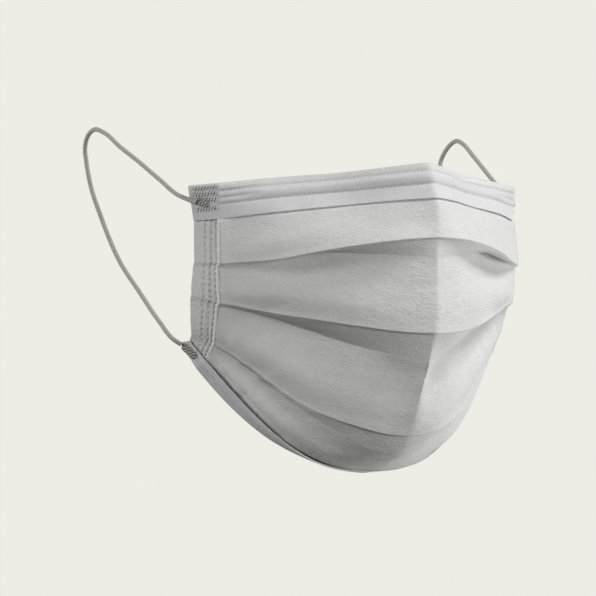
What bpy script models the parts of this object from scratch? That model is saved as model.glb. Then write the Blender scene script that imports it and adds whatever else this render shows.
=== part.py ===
"""Three-pleat surgical face mask in the shape it has when worn, in metres, +Z up.

The mask faces -Y and is mirrored about X = 0. The origin lies on the inside of the cloth at the
bridge of the nose. Every line across the cloth (edge, hem line, lip or crease of a pleat) is a row
of LINES, read at STATIONS from the middle of the mask to its side edge. The cloth is the surface
drawn through these lines, given its thickness by a Solidify modifier.
"""

import bmesh
import bpy
import numpy as np
from mathutils import Matrix, Vector

# Sizes of the worn mask
HALF_WIDTH = 0.0666
HEIGHT = 0.108
DEPTH = 0.0643
FRONT_Y = -0.0072
LOWEST_Z = -0.1024

# Cloth
CLOTH = 0.0010
GAP = 0.0003
FOLD_RADIUS = 0.00064
SOFT_TURN = 0.0005
TURN_ROOM = 0.45
TURN_ROWS = 4
RIDGE_ROUNDING = 0.03

# Hems: how far the cloth steps in under them, and how long that step is
HEM_SINK = 0.0010
HEM_STEP = 0.0020
HEM_PROUD = CLOTH + GAP - HEM_SINK
HEM_INNER = -HEM_SINK - CLOTH / 2
# Rows of the cloth under the upper and the lower hem, as shares of the hem's width
UNDER_TOP_HEM = (0.35, 0.7)
UNDER_LOW_HEM = 0.5
# How a hem turns over the edge of the cloth: in from the edge and down, in thicknesses of the cloth
HEM_TURN = ((1.0, 0.0), (0.6, 0.2), (0.5, 0.6))

# Nose wire, and the ridge that it raises in the upper hem: shares of the hem's width where the
# ridge ends, is full, has its middle, is full and ends, and the station where it has faded out
WIRE_WIDTH = (0.29, 0.53)
WIRE_THICKNESS = 0.0006
WIRE_REACH = 0.70
WIRE_RAISE = WIRE_THICKNESS + GAP
WIRE_RIDGE = (0.61, 0.55, 0.41, 0.27, 0.21)
WIRE_RIDGE_END = 0.80
WIRE_RIDGE_FADE = 0.08

# Ear loops
CORD_DIAMETER = 0.0016
CORD_SPACING = 0.0036
WELD_THICKNESS = 0.0008
WELD_WIDTH = 0.0024
WELD_EDGE = 0.0004
CORD_LIFT = 0.0004
CORD_START = 0.0004
# The loop on the wearer's left hangs lower at the ear and is drawn in at its lower end
LEFT_LOOP_DROOP = 0.0028
DROOP_POWER = 1.5
LEFT_LOOP_TUCK = 0.0024

# Each line is given at STATIONS, shares of the way from the middle to the crease of the side band,
# and at the side edge. BAND_START is the share of the drawn columns that reaches that crease.
STATIONS = (0.0, 0.2, 0.4, 0.6, 0.8, 1.0)
BAND_START = 0.87
COLUMNS = (0.0, 0.03, 0.08, 0.15, 0.22, 0.3, 0.38, 0.46, 0.54, 0.62, 0.7, 0.77, 0.83, 0.87, 0.93, 1.0)

# Columns: name, crease of the side band out (share of HALF_WIDTH), back at each station (share of
# DEPTH behind the front of the mask), up at each station (share of HEIGHT above its lowest line),
# and out, back and up of the side edge
LINES = (
    ("top_edge", 0.926, (0.126, 0.256, 0.410, 0.533, 0.629, 0.708),
     (1.000, 0.984, 0.967, 0.957, 0.947, 0.935), (1.021, 0.852, 0.927)),
    ("top_hem_line", 0.916, (0.036, 0.164, 0.303, 0.412, 0.537, 0.712),
     (0.883, 0.874, 0.861, 0.848, 0.835, 0.819), (0.985, 0.854, 0.815)),
    ("lip_1", 0.926, (0.012, 0.053, 0.149, 0.283, 0.454, 0.684),
     (0.760, 0.752, 0.736, 0.715, 0.687, 0.678), (0.974, 0.865, 0.681)),
    ("crease_1", 0.920, (0.000, 0.085, 0.223, 0.384, 0.517, 0.712),
     (0.692, 0.703, 0.709, 0.714, 0.698, 0.672), (0.970, 0.885, 0.668)),
    ("lip_2", 0.907, (0.040, 0.112, 0.213, 0.370, 0.549, 0.715),
     (0.455, 0.461, 0.478, 0.500, 0.523, 0.554), (0.988, 0.877, 0.576)),
    ("crease_2", 0.901, (0.084, 0.205, 0.350, 0.504, 0.622, 0.747),
     (0.357, 0.389, 0.424, 0.472, 0.516, 0.545), (0.982, 0.897, 0.563)),
    ("lip_3", 0.875, (0.297, 0.336, 0.422, 0.540, 0.689, 0.818),
     (0.124, 0.141, 0.185, 0.244, 0.338, 0.426), (0.952, 0.930, 0.453)),
    ("crease_3", 0.875, (0.359, 0.412, 0.519, 0.646, 0.761, 0.843),
     (0.063, 0.091, 0.151, 0.235, 0.339, 0.414), (0.950, 0.946, 0.441)),
    ("low_hem_line", 0.886, (0.647, 0.676, 0.696, 0.743, 0.828, 0.896),
     (0.012, 0.022, 0.057, 0.129, 0.243, 0.367), (0.950, 0.956, 0.429)),
    ("low_edge", 0.910, (0.764, 0.770, 0.796, 0.843, 0.905, 0.958),
     (0.006, 0.024, 0.064, 0.123, 0.216, 0.339), (0.983, 1.003, 0.422)),
)

# How far each panel swells out between its two lines and how many rows it has there, and then
# its share of that swelling at STATIONS
PANELS = {
    "panel_1": (0.0006, 2),
    "panel_2": (0.0022, 5),
    "panel_3": (0.0030, 6),
    "panel_4": (0.0024, 4),
}
SWELL_ALONG = (0.1, 0.2, 0.45, 0.85, 1.0, 0.1)

# Columns: name, hem, then station and share of the hem's width at the outer and the inner end.
# WELD_LEVEL is the step along the hem over which its direction is taken.
WELDS = (
    ("loop_weld_upper", "top", (0.986, 0.46), (0.930, 0.50)),
    ("loop_weld_lower", "low", (0.990, 0.80), (0.912, 0.45)),
)
WELD_LEVEL = 0.01

# Route of an ear loop from its upper to its lower weld: out, back and up from the origin
LOOP_ROUTE = (
    ("leaves_hem", 0.0694, 0.0500, -0.0062),
    ("rises", 0.0710, 0.0623, 0.0001),
    ("rising", 0.0727, 0.0725, 0.0061),
    ("before_ear", 0.0747, 0.0823, 0.0117),
    ("over_ear", 0.0759, 0.0906, 0.0166),
    ("top_of_ear", 0.0766, 0.0958, 0.0179),
    ("turns_down", 0.0764, 0.1010, 0.0156),
    ("behind_ear", 0.0758, 0.1038, 0.0115),
    ("behind_ear_low", 0.0752, 0.1040, 0.0071),
    ("leaves_ear", 0.0744, 0.1020, -0.0023),
    ("comes_forward", 0.0735, 0.0970, -0.0125),
    ("down_cheek", 0.0725, 0.0857, -0.0286),
    ("mid_cheek", 0.0715, 0.0744, -0.0391),
    ("low_cheek", 0.0700, 0.0638, -0.0493),
    ("reaches_hem", 0.0681, 0.0573, -0.0556),
)

# Columns: finish, colour, roughness
FINISHES = {
    "pleated_panel": ((0.62, 0.62, 0.62), 0.85),
    "top_hem": ((0.64, 0.64, 0.64), 0.80),
    "bottom_hem": ((0.60, 0.60, 0.61), 0.80),
    "nose_wire": ((0.70, 0.70, 0.70), 0.55),
    "ear_loop": ((0.46, 0.46, 0.44), 0.90),
    "loop_weld": ((0.40, 0.40, 0.39), 0.70),
}


def clear_scene():
    """Remove every object of the file that is open."""
    for thing in list(bpy.data.objects):
        bpy.data.objects.remove(thing, do_unlink=True)


def finish(name, key):
    """Principled material of one piece."""
    colour, roughness = FINISHES[key]
    material = bpy.data.materials.new(name + "_finish")
    material.use_nodes = True
    shader = material.node_tree.nodes["Principled BSDF"]
    shader.inputs["Base Color"].default_value = (*colour, 1.0)
    shader.inputs["Roughness"].default_value = roughness
    shader.inputs["Metallic"].default_value = 0.0
    return material


def smooth_read(places, values, at):
    """Read a smooth curve through (places, values) at the given places."""
    places = np.asarray(places, float)
    values = np.asarray(values, float)
    steps = np.diff(places)
    rises = np.diff(values) / steps
    slopes = np.empty_like(values)
    slopes[1:-1] = (rises[:-1] * steps[1:] + rises[1:] * steps[:-1]) / (steps[:-1] + steps[1:])
    slopes[0] = 1.5 * rises[0] - 0.5 * slopes[1]
    slopes[-1] = 1.5 * rises[-1] - 0.5 * slopes[-2]
    spot = np.clip(np.searchsorted(places, at, side="right") - 1, 0, len(steps) - 1)
    step = steps[spot]
    t = (at - places[spot]) / step
    return (
        (2 * t**3 - 3 * t**2 + 1) * values[spot]
        + (t**3 - 2 * t**2 + t) * step * slopes[spot]
        + (3 * t**2 - 2 * t**3) * values[spot + 1]
        + (t**3 - t**2) * step * slopes[spot + 1]
    )


def across(limit=1.0):
    """Stations of the drawn columns from one side to the other, no farther out than limit."""
    half = np.array([share for share in COLUMNS if share <= limit])
    return np.concatenate([-half[:0:-1], half])


def softened(shares):
    """Distance from the middle, rounded off so that the ridge is no knife edge."""
    full = np.sqrt(1.0 + RIDGE_ROUNDING**2) - RIDGE_ROUNDING
    return (np.sqrt(shares**2 + RIDGE_ROUNDING**2) - RIDGE_ROUNDING) / full


def line(name, stations):
    """Points of one line of LINES at the signed columns, with a crease where the band starts."""
    _, reach, back, up, edge = next(row for row in LINES if row[0] == name)
    away = np.abs(stations)
    shares = np.minimum(away / BAND_START, 1.0)
    over = np.maximum(away - BAND_START, 0.0)[:, None] / (1.0 - BAND_START)
    out = softened(shares)
    behind = smooth_read(STATIONS, back, out)
    above = smooth_read(STATIONS, up, out)
    points = np.stack([shares * reach, behind, above], axis=1)
    points += (np.array(edge) - (reach, back[-1], up[-1])) * over
    points[:, 0] *= np.sign(stations)
    return points * (HALF_WIDTH, DEPTH, HEIGHT) + (0.0, FRONT_Y, LOWEST_Z)


def unit(vectors):
    """Vectors scaled to length one."""
    return vectors / np.linalg.norm(vectors, axis=1, keepdims=True)


def outward(upper, lower, stations):
    """Direction out of the cloth between two lines, at every station."""
    along = np.gradient((upper + lower) / 2, stations, axis=0)
    return unit(np.cross(lower - upper, along))


def turn(before, corner, after):
    """Rows that round the corner of the cloth between two straight runs."""
    arriving = unit(corner - before)
    leaving = unit(after - corner)
    cosine = np.clip(np.sum(arriving * leaving, axis=1), -0.99, 1.0)
    half_turn = np.arccos(cosine) / 2
    room = TURN_ROOM * np.minimum(
        np.linalg.norm(corner - before, axis=1), np.linalg.norm(after - corner, axis=1)
    )
    reach = np.minimum(np.maximum(FOLD_RADIUS * np.tan(half_turn), SOFT_TURN), room)[:, None]
    start = corner - arriving * reach
    end = corner + leaving * reach
    weight = np.cos(half_turn)[:, None]
    rows = []
    for t in np.linspace(0.0, 1.0, TURN_ROWS):
        middle = 2 * t * (1 - t) * weight
        blend = (1 - t) ** 2 + middle + t**2
        rows.append(((1 - t) ** 2 * start + middle * corner + t**2 * end) / blend)
    return rows


def run(start, end, stations, panel):
    """Rows of a panel between two rows, swelling out in the middle."""
    swell, count = PANELS[panel]
    normal = outward(start, end, stations)
    shares = np.minimum(np.abs(stations) / BAND_START, 1.0)
    amount = swell * smooth_read(STATIONS, SWELL_ALONG, shares)[:, None]
    places = np.arange(1, count + 1) / (count + 1)
    return [start + (end - start) * s + normal * amount * np.sin(np.pi * s) ** 2 for s in places]


def hem_point(upper, lower, stations, share, lift):
    """Row inside a hem: share of its width below its upper line, lifted off the surface."""
    return upper + (lower - upper) * share + outward(upper, lower, stations) * lift


def panel_rows(stations):
    """Rows of the pleated cloth from its upper to its lower edge."""
    at = {row[0]: line(row[0], stations) for row in LINES}
    top, hem = at["top_edge"], at["top_hem_line"]
    width = np.linalg.norm(hem - top, axis=1, keepdims=True)
    cover = (CLOTH + GAP) / width
    rows = [
        hem_point(top, hem, stations, share, -HEM_SINK)
        for share in (cover, *UNDER_TOP_HEM, 1.0 + GAP / width)
    ]
    step_end = hem + unit(at["lip_1"] - hem) * HEM_STEP
    rows.append(step_end)

    low_hem, edge = at["low_hem_line"], at["low_edge"]
    low_width = np.linalg.norm(edge - low_hem, axis=1, keepdims=True)
    low_step = low_hem + unit(at["crease_3"] - low_hem) * HEM_STEP

    corners = ("lip_1", "crease_1", "lip_2", "crease_2", "lip_3", "crease_3")
    folds = [step_end, *(at[name] for name in corners), low_step]
    turns = [turn(folds[i - 1], folds[i], folds[i + 1]) for i in range(1, len(folds) - 1)]
    rows += run(step_end, turns[0][0], stations, "panel_1")
    rows += turns[0] + turns[1]
    rows += run(turns[1][-1], turns[2][0], stations, "panel_2")
    rows += turns[2] + turns[3]
    rows += run(turns[3][-1], turns[4][0], stations, "panel_3")
    rows += turns[4] + turns[5]
    rows += run(turns[5][-1], low_step, stations, "panel_4")
    rows.append(low_step)
    low_cover = 1.0 - (CLOTH + GAP) / low_width
    rows += [
        hem_point(low_hem, edge, stations, share, -HEM_SINK)
        for share in (-GAP / low_width, UNDER_LOW_HEM, low_cover)
    ]
    return rows


def top_hem_rows(stations):
    """Rows of the upper hem from its lower line, over the wire and over the edge of the cloth."""
    top, hem = line("top_edge", stations), line("top_hem_line", stations)
    width = np.linalg.norm(hem - top, axis=1, keepdims=True)
    over_wire = (WIRE_RIDGE_END - np.abs(stations)) / WIRE_RIDGE_FADE
    raised = HEM_PROUD + WIRE_RAISE * np.clip(over_wire, 0.0, 1.0)[:, None]
    places = [(1.0, HEM_PROUD), (WIRE_RIDGE[0], HEM_PROUD)]
    places += [(share, raised) for share in WIRE_RIDGE[1:-1]]
    places.append((WIRE_RIDGE[-1], HEM_PROUD))
    places += [(CLOTH * inset / width, HEM_PROUD - CLOTH * drop) for inset, drop in HEM_TURN]
    places.append((CLOTH / 2 / width, HEM_INNER))
    return [hem_point(top, hem, stations, share, lift) for share, lift in places]


def bottom_hem_rows(stations):
    """Rows of the lower hem from its upper line, down and under the edge of the cloth."""
    hem, edge_line = line("low_hem_line", stations), line("low_edge", stations)
    width = np.linalg.norm(edge_line - hem, axis=1, keepdims=True)
    places = [(0.0, HEM_PROUD), (UNDER_LOW_HEM, HEM_PROUD)]
    places += [(1.0 - CLOTH * inset / width, HEM_PROUD - CLOTH * drop) for inset, drop in HEM_TURN]
    places.append((1.0 - CLOTH / 2 / width, HEM_INNER))
    return [hem_point(hem, edge_line, stations, share, lift) for share, lift in places]


def wire_rows(stations):
    """The two long sides of the nose wire, midway through its thickness."""
    top, hem = line("top_edge", stations), line("top_hem_line", stations)
    middle = -HEM_SINK + CLOTH / 2 + GAP + WIRE_THICKNESS / 2
    return [hem_point(top, hem, stations, share, middle) for share in WIRE_WIDTH]


def sheet(name, rows, thickness, collection):
    """Loft a sheet through rows of points and thicken it to both sides."""
    points = np.stack(rows)
    row_count, column_count, _ = points.shape
    index = np.arange(row_count * column_count).reshape(row_count, column_count)
    faces = np.stack([index[:-1, :-1], index[1:, :-1], index[1:, 1:], index[:-1, 1:]], axis=-1)
    mesh = bpy.data.meshes.new(name)
    mesh.from_pydata(points.reshape(-1, 3).tolist(), [], faces.reshape(-1, 4).tolist())
    mesh.polygons.foreach_set("use_smooth", np.ones(len(mesh.polygons), dtype=bool))
    mesh.materials.append(finish(name, name))
    piece = bpy.data.objects.new(name, mesh)
    collection.objects.link(piece)
    solidify = piece.modifiers.new("cloth_thickness", "SOLIDIFY")
    solidify.thickness = thickness
    solidify.offset = 0.0
    solidify.use_even_offset = True
    solidify.use_quality_normals = True
    return piece


def weld_ends(hem, outer, inner):
    """Middle of a weld, its direction towards the cord and the direction out of the cloth."""
    upper, lower = ("top_edge", "top_hem_line") if hem == "top" else ("low_hem_line", "low_edge")
    lift = HEM_PROUD + CLOTH / 2 + GAP + WELD_THICKNESS / 2
    level = np.array([-WELD_LEVEL, 0.0, WELD_LEVEL])
    ends = []
    for station, share in (outer, inner):
        near = level + station
        ends.append(hem_point(line(upper, near), line(lower, near), near, share, lift)[1])
    near = level + (outer[0] + inner[0]) / 2
    normal = outward(line(upper, near), line(lower, near), near)[1]
    return Vector(ends[0]), Vector(ends[1]), Vector(normal)


def mirrored(vector, side):
    """The vector on the wearer's right (side -1) or left (side 1)."""
    return Vector((side * vector.x, vector.y, vector.z))


def add_weld(name, side, outer, inner, normal, collection):
    """Flattened end of a cord: a bar with rounded edges lying on the hem."""
    outer, inner, normal = (mirrored(v, side) for v in (outer, inner, normal))
    along = (outer - inner).normalized()
    out = (normal - along * normal.dot(along)).normalized()
    wide = out.cross(along)
    form = bmesh.new()
    bmesh.ops.create_cube(form, size=1.0)
    bmesh.ops.scale(form, vec=((outer - inner).length, WELD_WIDTH, WELD_THICKNESS), verts=form.verts)
    bmesh.ops.bevel(form, geom=form.edges[:], offset=WELD_EDGE, segments=2, profile=0.5, affect="EDGES")
    mesh = bpy.data.meshes.new(name)
    form.to_mesh(mesh)
    form.free()
    mesh.polygons.foreach_set("use_smooth", np.ones(len(mesh.polygons), dtype=bool))
    mesh.materials.append(finish(name, "loop_weld"))
    piece = bpy.data.objects.new(name, mesh)
    turned = Matrix((along, wide, out)).transposed().to_4x4()
    piece.matrix_world = Matrix.Translation((outer + inner) / 2) @ turned
    collection.objects.link(piece)


def cord_points(upper, lower, droop, tuck):
    """Evenly spaced points of an ear loop, from just off one weld to just off the other."""
    tips = []
    for outer, inner, normal in (upper, lower):
        tips.append(tuple(outer + (outer - inner).normalized() * CORD_START + normal * CORD_LIFT))
    knots = np.array([tips[0]] + [row[1:] for row in LOOP_ROUTE] + [tips[1]])
    back = knots[:, 1] - np.linspace(knots[0, 1], knots[-1, 1], len(knots))
    knots[:, 2] -= droop * (np.maximum(back, 0.0) / back.max()) ** DROOP_POWER
    knots[1:-1, 0] -= tuck * np.linspace(0.0, 1.0, len(knots))[1:-1] ** 3
    spans = np.concatenate([[0.0], np.cumsum(np.linalg.norm(np.diff(knots, axis=0), axis=1))])
    fine = np.linspace(0.0, spans[-1], 800)
    curve = np.stack([smooth_read(spans, knots[:, k], fine) for k in range(3)], axis=1)
    length = np.concatenate([[0.0], np.cumsum(np.linalg.norm(np.diff(curve, axis=0), axis=1))])
    even = np.linspace(0.0, length[-1], int(length[-1] / CORD_SPACING) + 2)
    return np.stack([np.interp(even, length, curve[:, k]) for k in range(3)], axis=1)


def add_cord(name, side, points, collection):
    """Round elastic cord along the points."""
    curve = bpy.data.curves.new(name, "CURVE")
    curve.dimensions = "3D"
    curve.bevel_depth = CORD_DIAMETER / 2
    curve.bevel_resolution = 2
    curve.use_fill_caps = True
    spline = curve.splines.new("POLY")
    spline.points.add(len(points) - 1)
    ones = np.ones((len(points), 1))
    spline.points.foreach_set("co", np.hstack([points * (side, 1.0, 1.0), ones]).ravel())
    spline.use_smooth = True
    curve.materials.append(finish(name, "ear_loop"))
    collection.objects.link(bpy.data.objects.new(name, curve))


def build():
    """Build every piece of the mask."""
    clear_scene()
    collection = bpy.data.collections.new("surgical_face_mask")
    bpy.context.scene.collection.children.link(collection)

    stations = across()
    sheet("pleated_panel", panel_rows(stations), CLOTH, collection)
    sheet("top_hem", top_hem_rows(stations), CLOTH, collection)
    sheet("bottom_hem", bottom_hem_rows(stations), CLOTH, collection)
    sheet("nose_wire", wire_rows(across(WIRE_REACH)), WIRE_THICKNESS, collection)

    ends = {name: weld_ends(hem, outer, inner) for name, hem, outer, inner in WELDS}
    sides = ((-1, "right", 0.0, 0.0), (1, "left", LEFT_LOOP_DROOP, LEFT_LOOP_TUCK))
    for side, word, droop, tuck in sides:
        for name, (outer, inner, normal) in ends.items():
            add_weld(name + "_" + word, side, outer, inner, normal, collection)
        points = cord_points(ends["loop_weld_upper"], ends["loop_weld_lower"], droop, tuck)
        add_cord("ear_loop_" + word, side, points, collection)


build()
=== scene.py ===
"""Visual model of a three-pleat surgical face mask in the shape it has when worn.

The mask faces -Y, +Z is up, and the lengths are in metres. It is made of spunbond cloth: a pleated
panel with a pressed side band at each end, an upper hem over the nose wire, a lower hem, and two
round elastic loops welded to the corners. Every surface is a function of two parameters on a grid:
one goes across the mask, from -1 at the wearer's right edge to 1 at the left edge, and the other
goes down the cloth. Relief is added along the surface's own direction outwards.
"""

from __future__ import annotations

import logging
from collections.abc import Callable
from dataclasses import dataclass
from enum import Enum

import bpy
import numpy as np
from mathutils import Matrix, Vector


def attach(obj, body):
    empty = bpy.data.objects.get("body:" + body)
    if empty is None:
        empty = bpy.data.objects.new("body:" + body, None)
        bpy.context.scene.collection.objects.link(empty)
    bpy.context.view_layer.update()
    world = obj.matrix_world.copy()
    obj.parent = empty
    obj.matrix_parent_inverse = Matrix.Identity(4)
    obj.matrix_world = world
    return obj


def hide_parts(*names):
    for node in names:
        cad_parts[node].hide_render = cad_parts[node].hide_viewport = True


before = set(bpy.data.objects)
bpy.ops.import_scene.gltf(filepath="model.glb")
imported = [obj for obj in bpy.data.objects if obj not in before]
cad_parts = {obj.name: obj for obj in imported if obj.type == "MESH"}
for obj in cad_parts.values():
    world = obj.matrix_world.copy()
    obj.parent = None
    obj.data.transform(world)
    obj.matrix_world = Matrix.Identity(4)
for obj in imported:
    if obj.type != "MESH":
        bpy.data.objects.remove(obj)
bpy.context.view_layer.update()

MM = 0.001
LOG = logging.getLogger("surgical_face_mask")

Grid = np.ndarray
Relief = Callable[[Grid, Grid, Grid, Grid], tuple[Grid, Grid]]


class Line(Enum):
    """Lines that cross the cloth from side to side, from the top down."""

    TOP_EDGE = "top edge"
    TOP_HEM = "top hem line"
    LIP_1 = "lip of pleat 1"
    CREASE_1 = "crease of pleat 1"
    LIP_2 = "lip of pleat 2"
    CREASE_2 = "crease of pleat 2"
    LIP_3 = "lip of pleat 3"
    CREASE_3 = "crease of pleat 3"
    LOW_HEM = "low hem line"
    LOW_EDGE = "low edge"


class Side(Enum):
    """Side of the mask as the wearer has it, with its sign along X."""

    RIGHT = -1
    LEFT = 1

    @property
    def word(self) -> str:
        """Name of the side in lower case."""
        return self.name.lower()


def smooth_read(places: tuple[float, ...], values: tuple[float, ...], at: Grid) -> Grid:
    """Read a smooth curve through points.

    Between two places the curve is a cubic whose slopes are the weighted means of the rises on
    both sides of a place, and at each end one and a half rises less half of the next slope.

    Args:
        places: Places of the points, rising.
        values: Values there.
        at: Places to read.

    Returns:
        Values at those places.
    """
    spots = np.asarray(places, float)
    heights = np.asarray(values, float)
    steps = np.diff(spots)
    rises = np.diff(heights) / steps
    slopes = np.empty_like(heights)
    slopes[1:-1] = (rises[:-1] * steps[1:] + rises[1:] * steps[:-1]) / (steps[:-1] + steps[1:])
    slopes[0] = 1.5 * rises[0] - 0.5 * slopes[1]
    slopes[-1] = 1.5 * rises[-1] - 0.5 * slopes[-2]
    spot = np.clip(np.searchsorted(spots, at, side="right") - 1, 0, len(steps) - 1)
    step = steps[spot]
    t = (at - spots[spot]) / step
    return (
        (2 * t**3 - 3 * t**2 + 1) * heights[spot]
        + (t**3 - 2 * t**2 + t) * step * slopes[spot]
        + (3 * t**2 - 2 * t**3) * heights[spot + 1]
        + (t**3 - t**2) * step * slopes[spot + 1]
    )


def unit(vectors: Grid) -> Grid:
    """Vectors of a grid scaled to length one."""
    return vectors / np.maximum(np.linalg.norm(vectors, axis=-1, keepdims=True), 1e-12)


def rise(values: Grid, start: float, end: float) -> Grid:
    """Smooth step from 0 at start to 1 at end: three squares less two cubes of the share."""
    share = np.clip((values - start) / (end - start), 0.0, 1.0)
    return share * share * (3 - 2 * share)


def groove(values: Grid, middle: float, width: float) -> Grid:
    """Bell curve of height 1 round middle: e to the minus square of the distance in widths."""
    return np.exp(-(((values - middle) / width) ** 2))


def lengths(points: Grid, axis: int) -> Grid:
    """Distance along the rows or columns of a grid of points: the sum of the steps so far.

    Args:
        points: Grid of points.
        axis: 0 to go down the columns, 1 to go along the rows.

    Returns:
        Distance of each point from the first one in its column or row.
    """
    steps = np.linalg.norm(np.diff(points, axis=axis), axis=-1)
    pad = [(0, 0)] * steps.ndim
    pad[axis] = (1, 0)
    return np.pad(np.cumsum(steps, axis=axis), pad)


def from_middle(points: Grid) -> Grid:
    """Distance along each row of a grid of points, less that of its middle column.

    Args:
        points: Grid of points.

    Returns:
        Signed distance of each point from the middle one in its row.
    """
    run = lengths(points, 1)
    middle = run.shape[1] // 2
    return run - run[:, middle:middle + 1]


def outwards(points: Grid) -> Grid:
    """Direction out of a grid of points: down the cloth crossed with across it, at length one."""
    return unit(np.cross(np.gradient(points, axis=0), np.gradient(points, axis=1)))


# Range of the directions of ripples, in radians, and of their wave numbers, as shares of one wave
# for each size
RIPPLE_TURNS = (-0.9, 0.9)
RIPPLE_PITCHES = (0.7, 1.6)


def ripples(
    across: Grid, down: Grid, size: tuple[float, float], seed: int, count: int = 9
) -> Grid:
    """Soft unevenness of about -1 to 1, as a sum of waves in seeded directions.

    Each wave is a sine of the place, in units of the two sizes and turned a little, and the sum
    is scaled by the root of the number of waves.

    Args:
        across: Distance across the cloth.
        down: Distance down the cloth.
        size: Wavelengths across and down the cloth.
        seed: Seed of the directions.
        count: Number of waves.

    Returns:
        Height at each point.
    """
    draw = np.random.default_rng(seed)
    angle = draw.uniform(*RIPPLE_TURNS, count)
    pitch = draw.uniform(*RIPPLE_PITCHES, count)
    phase = draw.uniform(0.0, 2 * np.pi, count)
    turned = across[..., None] / size[0] * np.sin(angle)
    turned = turned + down[..., None] / size[1] * np.cos(angle)
    return np.sin(2 * np.pi * turned * pitch + phase).sum(axis=-1) / np.sqrt(count)


def link_piece(name: str, data: bpy.types.ID) -> bpy.types.Object:
    """Make an object and link it to the scene.

    Args:
        name: Name of the object.
        data: Its mesh, lamp or camera.

    Returns:
        The object.
    """
    piece = bpy.data.objects.new(name, data)
    bpy.context.scene.collection.objects.link(piece)
    return piece


def put_mesh(
    name: str, points: Grid, faces: Grid, uv: Grid, smooth: Grid, slots: Grid
) -> bpy.types.Object:
    """Make an object of points and quads, with its own UV map in millimetres.

    Args:
        name: Name of the piece.
        points: One row of three numbers for each point.
        faces: Four point numbers for each face.
        uv: Two numbers for each point.
        smooth: True for each face that is shaded smooth.
        slots: Material slot of each face.

    Returns:
        The piece, at the origin.
    """
    mesh = bpy.data.meshes.new(name)
    mesh.vertices.add(len(points))
    mesh.vertices.foreach_set("co", points.astype(np.float32).ravel())
    mesh.loops.add(faces.size)
    mesh.loops.foreach_set("vertex_index", faces.astype(np.int32).ravel())
    mesh.polygons.add(len(faces))
    mesh.polygons.foreach_set("loop_start", np.arange(0, faces.size, 4, dtype=np.int32))
    mesh.polygons.foreach_set("use_smooth", smooth)
    mesh.polygons.foreach_set("material_index", slots.astype(np.int32))
    mesh.update(calc_edges=True)
    layer = mesh.uv_layers.new(name="cloth_mm")
    layer.data.foreach_set("uv", uv[faces.ravel()].astype(np.float32).ravel())
    mesh.validate()
    return link_piece(name, mesh)


def add_attribute(piece: bpy.types.Object, name: str, values: Grid) -> None:
    """Give each point of a piece a number that its material reads by name.

    Args:
        piece: The piece.
        name: Name of the number.
        values: One number for each point.
    """
    layer = piece.data.attributes.new(name, "FLOAT", "POINT")
    layer.data.foreach_set("value", values.astype(np.float32).ravel())


def closed_sheet(name: str, outer: Grid, inner: Grid, pressed: Grid) -> bpy.types.Object:
    """Thin closed piece of cloth between two grids of points.

    The outer grid is wound outwards and the inner one the other way, and a strip of quads joins
    them round the border. The UV map is the distance across and down the outer grid, in
    millimetres, with the distance across measured from the middle of the mask.

    Args:
        name: Name of the piece.
        outer: Grid of points outside.
        inner: Grid of points inside, of the same shape.
        pressed: How far the cloth is pressed together at each point of the grid, from 0 to 1;
            on the side bands it also holds painted shade.

    Returns:
        The piece, with material slot 0 outside and on the border and slot 1 inside.
    """
    rows, columns, _ = outer.shape
    count = rows * columns
    index = np.arange(count).reshape(rows, columns)
    corners = [index[:-1, :-1], index[1:, :-1], index[1:, 1:], index[:-1, 1:]]
    front = np.stack(corners, axis=-1).reshape(-1, 4)
    border = np.concatenate([index[:-1, 0], index[-1, :-1], index[:0:-1, -1], index[0, :0:-1]])
    after = np.roll(border, -1)
    rim = np.stack([after, border, border + count, after + count], axis=-1)
    faces = np.concatenate([front, front[:, ::-1] + count, rim])
    smooth = np.ones(len(faces), dtype=bool)
    smooth[2 * len(front):] = False
    slots = np.zeros(len(faces), dtype=int)
    slots[len(front):2 * len(front)] = 1
    flat = np.stack([from_middle(outer), lengths(outer, 0)], axis=-1).reshape(-1, 2) / MM
    points = np.concatenate([outer.reshape(-1, 3), inner.reshape(-1, 3)])
    piece = put_mesh(name, points, faces, np.concatenate([flat, flat]), smooth, slots)
    add_attribute(piece, "pressed", np.concatenate([pressed.ravel(), pressed.ravel()]))
    return piece


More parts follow.
